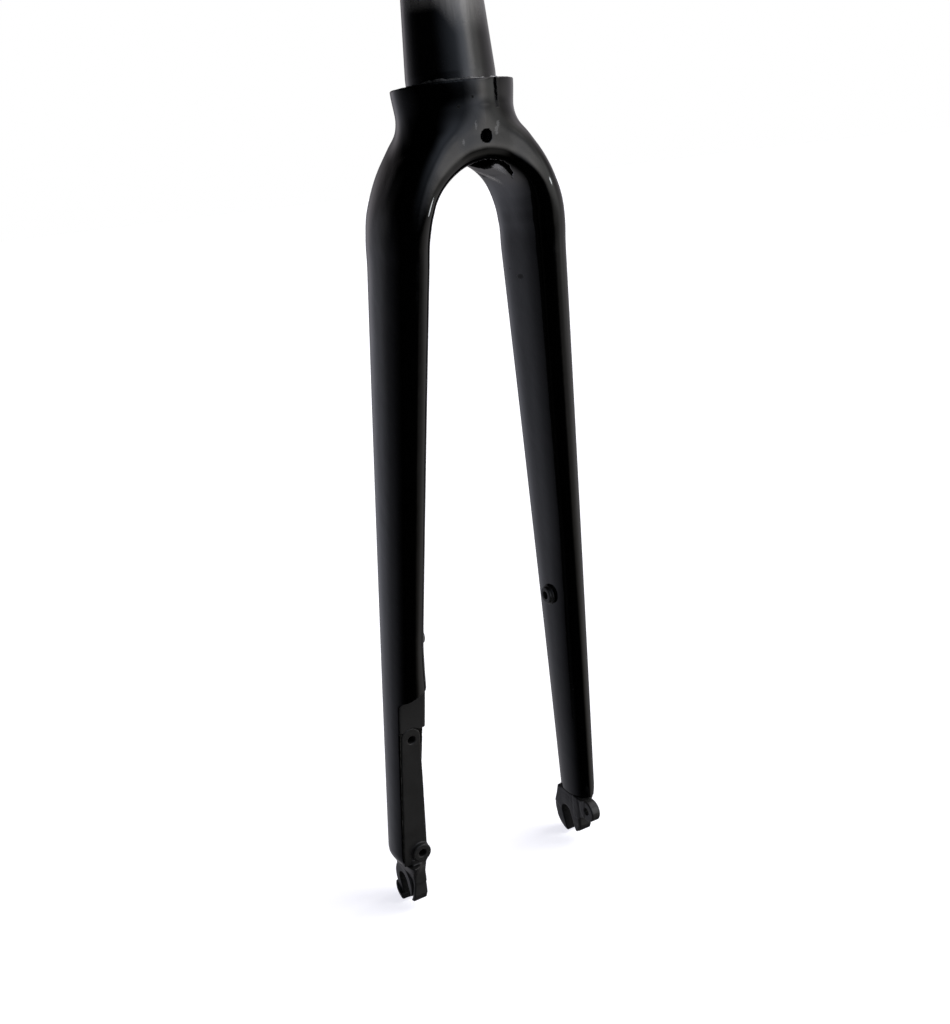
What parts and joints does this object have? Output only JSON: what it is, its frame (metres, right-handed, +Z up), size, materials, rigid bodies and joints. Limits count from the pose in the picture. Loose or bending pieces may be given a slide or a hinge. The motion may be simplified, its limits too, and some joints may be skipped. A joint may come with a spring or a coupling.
{
  "type": "bicycle fork",
  "caption": "Rigid bicycle fork with a tapered steerer, moulded crown and blades, open quick-release dropouts, flat disc-brake mount and fender bosses.",
  "frame": {"origin": "centre of the crown race seat, at the top face of the crown's collar", "axes": "+Z up along the steerer, +X forward (the way the dropouts are offset), +Y to the rider's left, where the brake mount is"},
  "size_m": [0.0882, 0.1268, 0.7166],
  "materials": {
    "lacquer": "deep gloss black lacquer over a moulded fibre laminate",
    "steerer_metal": "satin black anodised tube, lightly mottled",
    "dropout_metal": "satin black paint over forged metal",
    "boss_metal": "satin black paint"
  },
  "bodies": {
    "root": {"crown_and_blades": "lacquer", "steerer_tube": "steerer_metal", "left_dropout": "dropout_metal", "right_dropout": "dropout_metal", "left_fender_boss": "boss_metal", "right_fender_boss": "boss_metal"}
  },
  "joints": []
}
